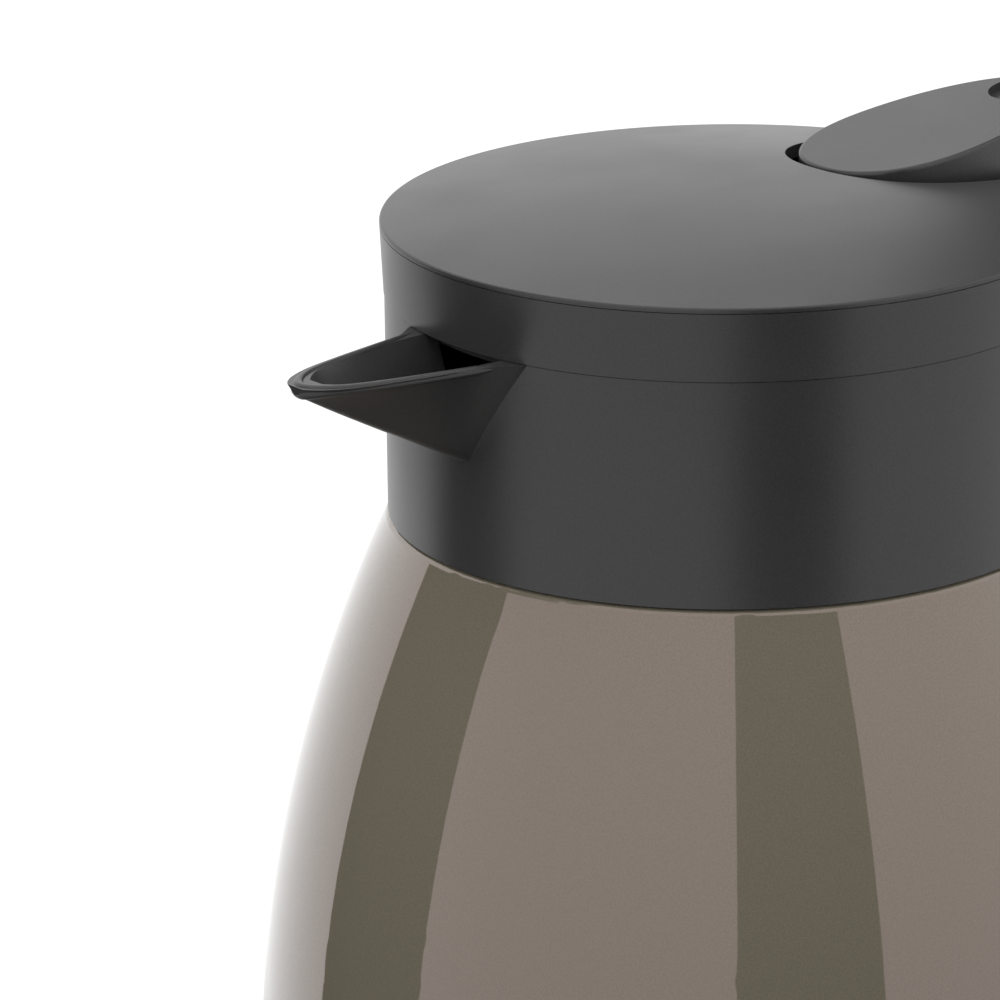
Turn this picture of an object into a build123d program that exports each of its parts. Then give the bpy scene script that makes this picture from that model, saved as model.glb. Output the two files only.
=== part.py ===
"""Thermal carafe with a thumb lever lid, built as separate pieces, in millimetres.

The carafe stands on z = 0 with its axis on Z.  The spout points along -X and the handle along +X.
A double walled steel flask carries a moulded collar with a beak spout, and the handle is screwed to
the collar.  The lid screws into the neck.  Its thumb lever rocks on a pin and lifts a sprung valve.
"""
import os
from math import asin, copysign, cos, hypot, pi, radians, sin, sqrt, tan

from build123d import *

# ---------------------------------------------------------------- driving dimensions
# Flask
belly_radius = 64.3           # widest radius of the steel body
belly_height = 82.7           # height of the widest point
foot_curve = 290.0            # radius of the long curve from the belly down to the base
base_corner = 8.0             # rounding between the flank and the underside
shoulder_height = 167.6       # top of the painted body, where the collar stands
shoulder_corner = 1.0         # rounding of the shoulder under the collar
steel_wall = 0.6              # sheet thickness of both steel vessels
vacuum_gap = 5.0              # space between the two vessels
neck_bore = 34.2              # inner radius of the neck
neck_gap = 1.8                # vacuum space in the neck
neck_length = 18.0            # distance from the flask's rim down to where the neck opens out
neck_cone = 10.0              # height of the cone between the inner flask's wall and its neck
mouth_rise = 10.4             # height of the flask's rim above the shoulder
flask_floor = 12.5            # underside of the inner flask
flask_corner = 14.0           # rounding at the inner flask's floor
flask_bend = 4.0              # rounding at both ends of the inner flask's cone
base_lip_radius = 40.0        # inner radius of the shell's turned in underside
base_lip_height = 5.0         # height of the upturned lip that holds the base pan
foot_height = 1.4             # thickness of the soft foot ring, which lifts the steel off the table
foot_width = 5.0              # radial width of the foot ring
foot_inset = 1.0              # distance from the base lip to the foot ring
foot_chamfer = 0.4
pan_rise = 5.0                # height of the pan's outer plate above the shell's underside
pan_step = 1.5                # the pan's middle is pressed up by this much
pan_step_radius = 20.0
pan_skirt_lift = 0.6          # the pan's skirt ends this far above the shell's underside
weld_gap = 0.05               # fit between pieces that are pressed or welded together
getter_radius = 5.0           # gas absorbing pellet in the vacuum
getter_height = 1.8
getter_offset = 27.0
getter_chamfer = 0.45
bead_radius = 3.0             # bead that closes the evacuation hole
bead_head = 0.8
bead_corner = 0.4

# Collar and spout
collar_radius = 45.5          # outer radius of the moulded collar
collar_wall = 2.0
collar_rise = 20.0            # height of the collar's top edge above the flask's rim
sleeve_wall = 2.2             # inner sleeve that screws on the neck
sleeve_lift = 1.4             # height of the sleeve's end above the collar's own foot
gasket_height = 1.5           # ring between the flask's rim and the collar's deck
deck_height = 2.0             # web between the sleeve and the outer wall
spout_reach = 26.7            # how far the beak stands out of the collar
spout_half_width = 9.9        # half the beak's width where it leaves the collar
spout_taper = 5.1             # how much the half width shrinks along the beak
spout_fullness = 7.0          # exponent of the rounding at the tip, seen from above
spout_depth = 17.9            # depth of the sharp V below the rim where it leaves the collar
spout_tip_depth = 0.9
spout_wall = 1.1
spout_lip = 1.3               # width of the beak's rim, seen from above
keel_radius = 2.6             # rounding along the keel where the beak leaves the collar
channel_keel_radius = 1.2
channel_end = 0.89            # share of the beak's reach at which its channel ends
spout_stations = (-0.16, 0.1, 0.3, 0.5, 0.66, 0.79, 0.88, 0.94, 0.985)
channel_stations = (-0.2, 0.2, 0.45, 0.65, 0.78, 0.86)

# Lid
lid_overhang = 0.5            # how far the cover's rim stands out past the collar
lid_seat = 0.1                # parting gap between the collar and the lid
band_height = 9.0             # height of the lid's side wall
band_wall = 2.0
band_draft = 0.4              # how much narrower the side wall is at its foot
shadow_gap = 0.1              # groove between the side wall and the cover's rim
cover_edge = 0.6              # thickness of the cover's rim
cover_rounding = 0.4          # rounding of the cover's upper edge
cover_wall = 1.8
dome_rise = 3.8               # height of the cover's crown above its rim
skirt_wall = 1.6              # ring under the cover that drops inside the side wall
ledge_width = 2.2             # ledge in the side wall that carries the cover
ledge_drop = 3.6              # distance from the top of the side wall down to the ledge
floor_height = 2.0            # plate that closes the lid below the lever
spigot_depth = 1.6            # ring that centres the lid in the collar
spigot_wall = 1.8
fit_gap = 0.3                 # clearance between moulded pieces that fit together

# Stopper
plug_gap = 1.2                # room between the plug and the neck
stopper_wall = 2.2
plug_depth = 17.4             # distance from the flask's rim down to the plug's underside
stopper_floor = 2.2           # thickness of the plate with the valve seat
seat_radius = 13.0            # hole that the valve closes
seal_lift = 3.9               # distance from the plug's underside up to the neck seal
seal_height = 6.0
seal_depth = 1.2              # depth of the groove that the neck seal sits in
seal_rib = 0.8                # height of each rib on the neck seal
seal_ribs = 3
seal_play = 0.1               # the seal can turn in its groove
groove_wall = 1.0             # how much the plug's wall is thickened behind the groove
port_count = 8                # pouring windows around the plug
port_angle = 27.0             # angle that each window spans
port_lift = 1.0               # distance from the collar's deck up to the windows
port_height = 9.0
flange_height = 2.0           # top flange of the plug, under the lid's floor
flange_width = 9.0
screw_count = 3
screw_start = 60.0            # angle of the first screw, clear of the lever's fork
screw_shank = 1.4
screw_head = 2.7
screw_head_height = 1.9
screw_head_corner = 0.6
screw_length = 8.0
screw_recess = 1.1            # radius of the driver's recess in each head
screw_recess_depth = 1.0
boss_wall = 1.8

# Valve
stem_radius = 2.5
stem_gap = 0.1                # running clearance of the stem in its guide
washer_reach = 3.2            # how far the valve's soft washer reaches over its seat
washer_height = 1.6
disc_height = 2.0
disc_inset = 1.0              # the disc is this much smaller than its washer
hub_height = 5.0              # boss on the disc that the stem is pressed in
hub_wall = 2.0
stem_foot_head = 5.0          # radius of the head at the stem's foot
guide_radius = 7.5            # boss round the stem under the lid's floor
guide_depth = 4.5
o_ring_wire = 0.9             # section radius of the stem's O ring
spring_seat_height = 1.2
spring_radius = 6.2
spring_wire = 0.5
spring_turns = 7.0
nut_radius = 6.8
nut_height = 1.8
nut_chamfer = 0.35

# Lever
pivot_inset = 14.3            # distance from the lid's skirt inwards to the lever's pin
pivot_lift = 3.6              # height of the pin above the lid's floor
pin_radius = 1.5
pin_gap = 0.05                # running clearance of the pin
lever_hub_radius = 3.2
lever_hub_half = 7.4
lug_wall = 1.9                # thickness of each lug that holds the pin
lug_half_length = 3.4
lug_head = 3.0                # radius of the lug round the pin
arm_wall = 2.6                # thickness of each fork arm that lifts the nut
arm_height = 2.4
arm_lift = 0.5                # distance from the lid's floor up to the fork's arms
arm_root = 2.0                # distance from the pin's axis to the arms' rear ends in the lever
arm_reach = 3.0               # how far the arms pass the carafe's axis
lever_front_reach = 12.7      # distance from the pin to the lever's front end
lever_overhang = 12.5         # how far the lever's rear end stands out past the collar
lever_half_width = 12.0
lever_taper = 0.17            # how much narrower the rear half is than the middle
lever_fullness = 2.2          # exponent of the lever's rounded outline
lever_front_rise = 3.3        # height of the upper face's front end above the cover's rim
lever_slope = 7.3             # rise of the upper face towards the rear, in degrees
lever_sink = 1.8              # how far the lever's side wall drops below the cover's rim
lever_plate = 2.2
lever_side = 1.6              # thickness of the lever's side wall
lever_tail_lift = 3.2         # height of the lever behind the slot above the cover's rim
lever_edge = 0.5              # rounding of the upper edge
lever_points = 28             # points that its rounded outline passes through
slot_gap = 1.3                # clearance in front of the lever in the cover
slot_side_gap = 2.6           # clearance beside the lever in the cover
slot_land = 1.7               # width of the cover between its skirt and the end of the slot
tail_gap = 1.6                # distance from the slot's end to the lever's side walls
dish_inset = 5.6              # distance from the lever's rear end to the middle of the thumb dish
dish_half_length = 4.6
dish_half_width = 4.4
dish_depth = 1.1

# Handle
handle_half_width = 12.0
handle_top_drop = 1.6         # distance from the collar's rim down to the handle's upper face
handle_root_height = 24.0     # height of the saddle that meets the collar
handle_reach = 107.0          # distance from the axis to the outside of the grip
handle_foot = 56.0            # height of the grip's free end
grip_curve = 600.0            # radius of the long curve that brings the grip's free end in
grip_depth = 16.0             # thickness of the grip, front to back
handle_bend = 27.0            # outer radius of the bend between the saddle and the grip
handle_rounding = 6.0
saddle_gap = 0.1
inlay_depth = 1.6             # soft strip let into the outside of the grip
inlay_half_width = 5.0
inlay_top_margin = 6.0        # distance from the bend down to the strip
inlay_foot_margin = 12.0      # distance from the grip's free end up to the strip
handle_screw_drop = 12.4      # distance from the collar's rim down to the lower of the two screws
handle_screw_pitch = 6.8
handle_screw_length = 14.0
pad_boss = 1.2                # flat raised inside the collar under each screw head
pad_boss_rim = 0.5            # how much wider the flat is than the screw head

# ---------------------------------------------------------------- derived sizes
mouth_height = shoulder_height + mouth_rise
neck_foot = mouth_height - neck_length
collar_rim = mouth_height + collar_rise
waist = belly_radius - collar_radius
flank_curve = (waist**2 + (shoulder_height - belly_height) ** 2) / (2 * waist)
flank_centre = belly_radius - flank_curve
foot_centre = belly_radius - foot_curve
neck_inner_wall = neck_bore + steel_wall
neck_outer_bore = neck_inner_wall + neck_gap
neck_radius = neck_outer_bore + steel_wall
shell_foot = foot_height
pan_top = shell_foot + pan_rise
pan_middle_top = pan_top + pan_step
collar_foot = shoulder_height + fit_gap
collar_bore = collar_radius - collar_wall
sleeve_bore = neck_radius + fit_gap
sleeve_radius = sleeve_bore + sleeve_wall
deck_foot = mouth_height + gasket_height
deck_top = deck_foot + deck_height
throat_radius = neck_bore + fit_gap
lid_radius = collar_radius + lid_overhang
lid_foot = collar_rim + lid_seat
band_top = lid_foot + band_height
floor_top = lid_foot + floor_height
cover_rim_foot = band_top + shadow_gap
cover_rim_top = cover_rim_foot + cover_edge
dome_top = cover_rim_top + dome_rise
dome_curve = (lid_radius**2 + dome_rise**2) / (2 * dome_rise)
band_bore = lid_radius - band_draft - band_wall
skirt_radius = band_bore - fit_gap
ledge_top = band_top - ledge_drop
seal_radius = neck_bore - fit_gap
stopper_radius = neck_bore - plug_gap
stopper_foot = mouth_height - plug_depth
seal_foot = stopper_foot + seal_lift
groove_radius = stopper_radius - seal_depth
stopper_bore = stopper_radius - stopper_wall
screw_circle = (stopper_bore + stopper_radius - flange_width) / 2
seat_top = stopper_foot + stopper_floor
washer_radius = seat_radius + washer_reach
disc_foot = seat_top + washer_height
disc_top = disc_foot + disc_height
guide_foot = lid_foot - guide_depth
spring_top = guide_foot - spring_seat_height
pivot_height = floor_top + pivot_lift
arm_half_gap = stem_radius + fit_gap
arm_foot = floor_top + arm_lift
arm_top = arm_foot + arm_height
nut_foot = arm_top + fit_gap
pivot_reach = skirt_radius - pivot_inset
lever_front = pivot_reach - lever_front_reach
lever_rear = collar_radius + lever_overhang
dish_centre = lever_rear - dish_inset
slot_end = skirt_radius - skirt_wall - slot_land
lever_rise = tan(radians(lever_slope))
lever_top = cover_rim_top + lever_front_rise
lever_foot = cover_rim_top - lever_sink
lever_tail_foot = cover_rim_top + lever_tail_lift
handle_screw_low = collar_rim - handle_screw_drop
tiny = 0.01                   # how close a height must be to count as the same
past = 1.0                    # how far a cutting solid reaches past the face that it cuts


# ---------------------------------------------------------------- helpers
def turned(*points):
    """A solid of revolution from a closed outline of (radius, height) points."""
    return revolve(Plane.XZ * make_face(Polyline(*points, close=True)), Axis.Z)


def tube(inner, outer, foot, top):
    """A plain ring between two radii and two heights."""
    return turned((inner, foot), (outer, foot), (outer, top), (inner, top))


def slab(x0, x1, y0, y1, z0, z1):
    """A box between two corners."""
    middle = Pos((x0 + x1) / 2, (y0 + y1) / 2, (z0 + z1) / 2)
    return middle * Box(abs(x1 - x0), abs(y1 - y0), abs(z1 - z0))


def rod_x(radius, x0, x1, y, z):
    """A rod along X."""
    return Pos(x0, y, z) * Rot(0, 90, 0) * extrude(Circle(radius), x1 - x0)


def rod_y(radius, half_length, x, z):
    """A rod along Y, centred on y = 0."""
    return Pos(x, half_length, z) * Rot(90, 0, 0) * extrude(Circle(radius), 2 * half_length)


def screw(length):
    """A pan head screw on the Z axis.  Its head stands below z = 0 and its shank above."""
    shank = extrude(Circle(screw_shank), length)
    head = extrude(Circle(screw_head), -screw_head_height)
    head = fillet(head.edges().sort_by(Axis.Z)[0], screw_head_corner)
    recess = Pos(0, 0, -screw_head_height) * extrude(RegularPolygon(screw_recess, 6), screw_recess_depth)
    return shank + head - recess


def around(count, start=0.0):
    """Angles in degrees of evenly spaced copies."""
    return [start + 360 * i / count for i in range(count)]


# ---------------------------------------------------------------- flask
def flank_radius(centre, curve, height):
    """Radius of a long curve at a height.  Its centre lies level with the belly."""
    return centre + sqrt(curve**2 - (height - belly_height) ** 2)


def long_arc(centre, curve, start, end):
    """Part of a long curve between two heights."""
    heights = (start, (start + end) / 2, end)
    return ThreePointArc(*[(flank_radius(centre, curve, z), z) for z in heights])


def filled_vessel(inset, foot, shoulder, neck_start, neck, corner):
    """A solid vessel: floor, rounded corner, two long curves, shoulder or cone, and neck."""
    low = long_arc(foot_centre, foot_curve - inset, foot, belly_height)
    high = long_arc(flank_centre, flank_curve - inset, belly_height, shoulder)
    top = Polyline(high @ 1, (neck, neck_start), (neck, mouth_height), (0, mouth_height), (0, foot))
    outline = [Line((0, foot), low @ 0), low, high, top]
    body = revolve(Plane.XZ * make_face(outline), Axis.Z)
    return fillet(body.edges().filter_by(GeomType.CIRCLE).sort_by(Axis.Z)[0], corner)


def make_outer_shell():
    """Painted outer vessel with its neck and the turned in underside."""
    wall = steel_wall
    outside = filled_vessel(0, shell_foot, shoulder_height, shoulder_height, neck_radius, base_corner)
    shoulder = [
        edge
        for edge in outside.edges().filter_by(GeomType.CIRCLE)
        if abs(edge.center().Z - shoulder_height) < tiny and edge.radius > neck_radius + wall
    ]
    outside = fillet(shoulder, shoulder_corner)
    inner_shoulder = shoulder_height - wall
    inside = filled_vessel(
        wall, shell_foot + wall, inner_shoulder, inner_shoulder, neck_outer_bore, base_corner - wall
    )
    top_cut = tube(0, neck_radius + wall, mouth_height - wall, mouth_height + wall)
    shell = outside - inside - top_cut
    shell -= tube(0, base_lip_radius, 0, shell_foot + base_lip_height)
    lip_foot = shell_foot
    return shell + tube(base_lip_radius, base_lip_radius + wall, lip_foot, lip_foot + base_lip_height)


def make_inner_flask():
    """Inner vessel that holds the drink, rolled outwards at its rim."""
    cone_foot = neck_foot - neck_cone

    def filled(wall, neck, corner):
        inset = steel_wall + vacuum_gap + wall
        top = neck_foot - wall
        body = filled_vessel(inset, flask_floor + wall, cone_foot - wall, top, neck, corner)
        bends = [
            edge
            for edge in body.edges().filter_by(GeomType.CIRCLE)
            if cone_foot - wall - tiny < edge.center().Z < top + tiny
        ]
        return fillet(bends, flask_bend)

    outside = filled(0, neck_inner_wall, flask_corner)
    inside = filled(steel_wall, neck_bore, flask_corner - steel_wall)
    rim = tube(neck_bore, neck_radius, mouth_height - steel_wall, mouth_height)
    return outside - inside + rim


def make_base_pan():
    """Pressed plate that closes the vacuum, with a skirt inside the shell's lip."""
    outer = base_lip_radius - weld_gap
    foot = shell_foot + pan_skirt_lift
    hole = bead_radius + weld_gap
    wall = steel_wall
    slant = pan_step_radius + pan_step
    lower = pan_top - wall
    return turned(
        (outer, foot), (outer, pan_top), (slant, pan_top), (pan_step_radius, pan_middle_top),
        (hole, pan_middle_top), (hole, pan_middle_top - wall),
        (pan_step_radius - wall / 2, pan_middle_top - wall), (slant - wall / 2, lower),
        (outer - wall, lower), (outer - wall, foot),
    )


def make_vacuum_bead():
    """Bead in the middle of the pan, where the flask was evacuated and sealed."""
    foot = pan_middle_top - steel_wall
    plug = Pos(0, 0, foot) * extrude(Circle(bead_radius), steel_wall)
    cap = Pos(0, 0, foot) * extrude(Circle(bead_radius + bead_head), -bead_head)
    return plug + fillet(cap.edges().sort_by(Axis.Z)[0], bead_corner)


def make_getter():
    """Gas absorbing pellet on the vacuum side of the pan."""
    pellet = Pos(getter_offset, 0, pan_top) * extrude(Circle(getter_radius), getter_height)
    return chamfer(pellet.edges().sort_by(Axis.Z)[-1], getter_chamfer)


def make_foot_ring():
    """Soft ring under the shell that the carafe stands on."""
    inner = base_lip_radius + foot_inset
    outer = inner + foot_width
    inset = foot_chamfer
    return turned(
        (inner + inset, 0), (outer - inset, 0), (outer, inset), (outer, foot_height),
        (inner, foot_height), (inner, inset),
    )


# ---------------------------------------------------------------- collar
def beak_section(share, end, lip, wall, keel, over):
    """A V across the beak: share is 0 at the collar's wall and 1 at the tip, end is where it closes."""
    along = max(share, 0) / end
    half = (spout_half_width - spout_taper * share) * sqrt(1 - along**spout_fullness)
    depth = spout_depth + (spout_tip_depth - spout_depth) * share
    depth -= wall * hypot(half, depth) / half
    half -= lip
    wide = half * (depth + over) / depth
    outline = make_face(Polyline((-wide, over), (wide, over), (0, -depth), close=True))
    outline = fillet(outline.vertices().sort_by(Axis.Y)[0], keel * half / spout_half_width)
    origin = (-collar_radius - spout_reach * share, 0, collar_rim)
    return Plane(origin=origin, x_dir=(0, 1, 0), z_dir=(1, 0, 0)) * outline


def make_collar():
    """Moulded collar: outer wall, sleeve on the neck, deck, and the beak with its channel."""
    body = tube(collar_bore, collar_radius, collar_foot, collar_rim)
    body += tube(sleeve_bore, sleeve_radius, collar_foot + sleeve_lift, deck_top)
    body += tube(throat_radius, collar_bore + collar_wall / 2, deck_foot, deck_top)
    outside = loft([beak_section(share, 1, 0, 0, keel_radius, 0) for share in spout_stations])
    body += outside - tube(0, collar_radius - collar_wall / 2, collar_foot, 2 * collar_rim)
    channel = loft([
        beak_section(share, channel_end, spout_lip, spout_wall, channel_keel_radius, spout_wall)
        for share in channel_stations
    ])
    body -= channel
    # flats inside the wall for the handle's screw heads
    flat_x = collar_bore - pad_boss
    for row in range(2):
        z = handle_screw_low + row * handle_screw_pitch
        flat = rod_x(screw_head + pad_boss_rim, flat_x, collar_radius, 0, z)
        body += flat & tube(0, collar_radius - collar_wall / 2, deck_top, collar_rim)
        body -= rod_x(screw_shank + stem_gap, flat_x - pad_boss, collar_radius + collar_wall, 0, z)
    return body


def make_collar_gasket():
    """Ring squeezed between the flask's rim and the collar's deck."""
    return tube(throat_radius, neck_radius, mouth_height, deck_foot)


# ---------------------------------------------------------------- handle
def handle_outline():
    """Side view of the handle: saddle, bend, grip that leans in, and a rounded free end."""
    top = collar_rim - handle_top_drop
    root_foot = top - handle_root_height
    start = collar_radius - collar_wall
    inside = handle_reach - grip_depth
    inner_bend = handle_bend - grip_depth / 2
    grip_top = root_foot - inner_bend
    turn = asin((grip_top - handle_foot - grip_depth / 2) / grip_curve)
    centre = handle_reach - grip_curve

    def grip_point(depth, share):
        radius = grip_curve - depth
        return (centre + radius * cos(turn * share), grip_top - radius * sin(turn * share))

    end_middle = grip_point(grip_depth / 2, 1)
    end_x = end_middle[0] - grip_depth / 2 * sin(turn)
    end_z = end_middle[1] - grip_depth / 2 * cos(turn)
    return [
        Line((start, top), (handle_reach - handle_bend, top)),
        TangentArc((handle_reach - handle_bend, top), (handle_reach, top - handle_bend), tangent=(1, 0)),
        Line((handle_reach, top - handle_bend), (handle_reach, grip_top)),
        ThreePointArc(grip_point(0, 0), grip_point(0, 0.5), grip_point(0, 1)),
        ThreePointArc(grip_point(0, 1), (end_x, end_z), grip_point(grip_depth, 1)),
        ThreePointArc(grip_point(grip_depth, 1), grip_point(grip_depth, 0.5), grip_point(grip_depth, 0)),
        TangentArc((inside, grip_top), (inside - inner_bend, root_foot), tangent=(0, 1)),
        Polyline((inside - inner_bend, root_foot), (start, root_foot), (start, top)),
    ]


def make_handle_pieces():
    """The handle and the soft strip that is let into the outside of its grip."""
    half = handle_half_width
    blank = Pos(0, half, 0) * extrude(Plane.XZ * make_face(handle_outline()), 2 * half)
    rounded = [
        edge
        for edge in blank.edges()
        if abs(abs(edge.center().Y) - half) < tiny and edge.bounding_box().max.X > collar_radius
    ]
    blank = fillet(rounded, handle_rounding)
    blank -= tube(0, collar_radius + saddle_gap, 0, 2 * collar_rim)
    for row in range(2):
        z = handle_screw_low + row * handle_screw_pitch
        depth = handle_screw_length - collar_wall - pad_boss + fit_gap
        blank -= rod_x(screw_shank, collar_radius - collar_wall, collar_radius + depth, 0, z)
    # the strip is the outer skin of the grip between two heights
    strip_top = collar_rim - handle_top_drop - handle_bend - inlay_top_margin
    strip_foot = handle_foot + inlay_foot_margin
    core = Pos(-inlay_depth, 0, 0) * blank
    wide = slab(0, 2 * handle_reach, -inlay_half_width, inlay_half_width, strip_foot, strip_top)
    skin = (blank - core) & wide
    narrow = wide & slab(
        0, 2 * handle_reach, weld_gap - inlay_half_width, inlay_half_width - weld_gap,
        strip_foot + weld_gap, strip_top - weld_gap,
    )
    return blank - skin, skin & narrow


def make_handle_screws():
    """The two screws that hold the handle, put in from inside the collar."""
    head_x = collar_bore - pad_boss
    screws = []
    for row in range(2):
        z = handle_screw_low + row * handle_screw_pitch
        screws.append(Pos(head_x, 0, z) * Rot(0, 90, 0) * screw(handle_screw_length))
    return Compound(children=screws)


# ---------------------------------------------------------------- lid
def make_lid_body():
    """Side wall, ledge, floor, spigot, stem guide, screw bosses and the lugs for the pin."""
    foot_radius = lid_radius - band_draft
    body = turned(
        (stem_radius + stem_gap, lid_foot), (foot_radius, lid_foot), (lid_radius, band_top),
        (band_bore, band_top), (band_bore, ledge_top), (band_bore - ledge_width, ledge_top),
        (band_bore - ledge_width, floor_top), (stem_radius + stem_gap, floor_top),
    )
    spigot_radius = collar_bore - fit_gap
    body += tube(spigot_radius - spigot_wall, spigot_radius, lid_foot - spigot_depth, lid_foot)
    body += tube(stem_radius + stem_gap, guide_radius, guide_foot, lid_foot)
    o_ring_room = stem_radius + 2 * o_ring_wire + stem_gap
    body -= tube(0, o_ring_room, guide_foot, guide_foot + 2 * o_ring_wire)
    boss_top = lid_foot + screw_length
    for angle in around(screw_count, screw_start):
        boss = extrude(Circle(screw_shank + boss_wall), boss_top - lid_foot)
        hole = extrude(Circle(screw_shank), screw_length - flange_height)
        place = Rot(0, 0, angle) * Pos(screw_circle, 0, lid_foot)
        body += place * boss
        body -= place * hole
    for side in (-1, 1):
        inner = side * (lever_hub_half + fit_gap)
        outer = inner + side * lug_wall
        lug = slab(
            pivot_reach - lug_half_length, pivot_reach + lug_half_length,
            inner, outer, floor_top, pivot_height,
        )
        head = rod_y(lug_head, abs(outer), pivot_reach, pivot_height)
        band = slab(-lid_radius, lid_radius, inner, outer, floor_top, band_top)
        body += lug + (head & band)
    return body - rod_y(pin_radius, lever_hub_half + fit_gap + lug_wall + fit_gap, pivot_reach, pivot_height)


def lever_outline(longer, wider):
    """Plan of the lever: a rounded oval that is fuller at its front, grown at its ends and sides."""
    middle = (lever_front + lever_rear) / 2
    half_length = (lever_rear - lever_front) / 2 + longer
    points = []
    for i in range(lever_points):
        turn = 2 * pi * i / lever_points
        along = copysign(abs(cos(turn)) ** (2 / lever_fullness), cos(turn))
        across = copysign(abs(sin(turn)) ** (2 / lever_fullness), sin(turn))
        y = (lever_half_width + wider) * across * (1 - lever_taper * along)
        points.append((middle + half_length * along, y))
    return make_face(Spline(*points, periodic=True))


def lever_form(inset, drop):
    """The lever's form between its foot and its sloping upper face, with its walls moved inwards."""
    outline = lever_outline(-inset, -inset)
    slope = Plane(origin=(0, 0, lever_top - drop - lever_rise * lever_front), z_dir=(-lever_rise, 0, 1))
    return loft([Pos(0, 0, lever_foot) * outline, slope * outline], ruled=True)


def fork_arms():
    """The two arms that reach from the lever's hub to either side of the stem."""
    arms = []
    for side in (-1, 1):
        inner = side * arm_half_gap
        arms.append(slab(
            -arm_reach, pivot_reach - arm_root, inner, inner + side * arm_wall, arm_foot, arm_top,
        ))
    return Compound(children=arms)


def make_lever():
    """Thumb lever: sloping oval plate with side walls, and the hub that its pin and fork sit in."""
    outside = lever_form(0, 0)
    rim = outside.faces().sort_by(Axis.Z)[-1].edges()
    outside = fillet(rim, lever_edge)
    dish_height = lever_top + lever_rise * (dish_centre - lever_front)
    dish = extrude(Ellipse(dish_half_length, dish_half_width), dish_depth, both=True)
    outside -= Pos(dish_centre, 0, dish_height) * Rot(0, -lever_slope, 0) * dish
    tail = slab(slot_end - tail_gap, 2 * lever_rear, -lid_radius, lid_radius, 0, lever_tail_foot)
    body = outside - tail - lever_form(lever_side, lever_plate)
    web_top = lever_top + lever_rise * (pivot_reach - lever_front)
    web = slab(
        pivot_reach - lever_hub_radius, pivot_reach + lever_hub_radius,
        -lever_hub_half, lever_hub_half, pivot_height, web_top,
    )
    body += web & lever_form(0, lever_plate / 2)
    body += slab(
        pivot_reach - lever_hub_radius, pivot_reach + lever_hub_radius,
        -lever_hub_half, lever_hub_half, pivot_height, lever_foot + lever_plate,
    )
    body += slab(
        pivot_reach - lever_hub_radius, pivot_reach, -lever_hub_half, lever_hub_half, arm_foot, pivot_height,
    )
    body += rod_y(lever_hub_radius, lever_hub_half, pivot_reach, pivot_height)
    body -= rod_y(pin_radius + pin_gap, lever_hub_half + past, pivot_reach, pivot_height)
    return body - fork_arms()


def make_lever_fork():
    """Stiff fork, let into the lever's hub, that lifts the nut."""
    return fork_arms()


def make_lever_pin():
    """Steel pin through both lugs and the lever's hub."""
    return rod_y(pin_radius - tiny, lever_hub_half + fit_gap + lug_wall, pivot_reach, pivot_height)


def make_lid_cover():
    """Domed cover with the slot for the lever and a skirt that stands on the ledge."""
    centre = dome_top - dome_curve
    outer = Pos(0, 0, centre) * Sphere(dome_curve)
    inner = Pos(0, 0, centre) * Sphere(dome_curve - cover_wall)
    above = tube(0, lid_radius, cover_rim_top, dome_top + past)
    body = (outer & above) + tube(0, lid_radius, cover_rim_foot, cover_rim_top)
    room = tube(0, skirt_radius - skirt_wall, cover_rim_foot, dome_top)
    body -= inner & room
    rim = [
        edge
        for edge in body.edges().filter_by(GeomType.CIRCLE)
        if abs(edge.center().Z - cover_rim_top) < tiny and edge.radius > lid_radius - tiny
    ]
    body = fillet(rim, cover_rounding)
    body += tube(skirt_radius - skirt_wall, skirt_radius, ledge_top, cover_rim_foot)
    outline = lever_outline(slot_gap, slot_side_gap)
    slot = Pos(0, 0, ledge_top) * extrude(outline, dome_top - ledge_top + past)
    return body - (slot & slab(0, slot_end, -lid_radius, lid_radius, 0, 2 * dome_top))


# ---------------------------------------------------------------- stopper
def make_stopper():
    """Hollow plug with the valve seat, the seal's groove, the pouring windows and a top flange."""
    body = turned(
        (seat_radius, stopper_foot), (stopper_radius, stopper_foot), (stopper_radius, lid_foot),
        (stopper_radius - flange_width, lid_foot), (stopper_radius - flange_width, lid_foot - flange_height),
        (stopper_bore, lid_foot - flange_height), (stopper_bore, seat_top), (seat_radius, seat_top),
    )
    seal_top = seal_foot + seal_height
    body -= tube(groove_radius, stopper_radius + past, seal_foot, seal_top)
    body += tube(stopper_bore - groove_wall, groove_radius, seal_foot - groove_wall, seal_top + groove_wall)
    port_foot = deck_top + port_lift
    port_half = stopper_radius * sin(radians(port_angle / 2))
    window = slab(
        stopper_bore * cos(radians(port_angle / 2)) - past, stopper_radius + past,
        -port_half, port_half, port_foot, port_foot + port_height,
    )
    for angle in around(port_count):
        body -= Rot(0, 0, angle) * window
    hole = extrude(Circle(screw_shank + stem_gap), -flange_height - past)
    for angle in around(screw_count, screw_start):
        body -= Rot(0, 0, angle) * Pos(screw_circle, 0, lid_foot) * hole
    return body


def make_stopper_screws():
    """The screws that hold the plug under the lid's floor."""
    place = Pos(screw_circle, 0, lid_foot - flange_height)
    angles = around(screw_count, screw_start)
    return Compound(children=[Rot(0, 0, angle) * place * screw(screw_length) for angle in angles])


def make_neck_seal():
    """Ribbed soft ring in the plug's groove that closes the neck."""
    inner = groove_radius + seal_play
    outer = seal_radius - seal_rib
    foot = seal_foot + seal_play
    top = seal_foot + seal_height - seal_play
    body = tube(inner, outer, foot, top)
    pitch = (top - foot) / seal_ribs
    for i in range(seal_ribs):
        z = foot + i * pitch
        body += turned((outer, z), (seal_radius, z + pitch / 2), (outer, z + pitch))
    return body


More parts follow.
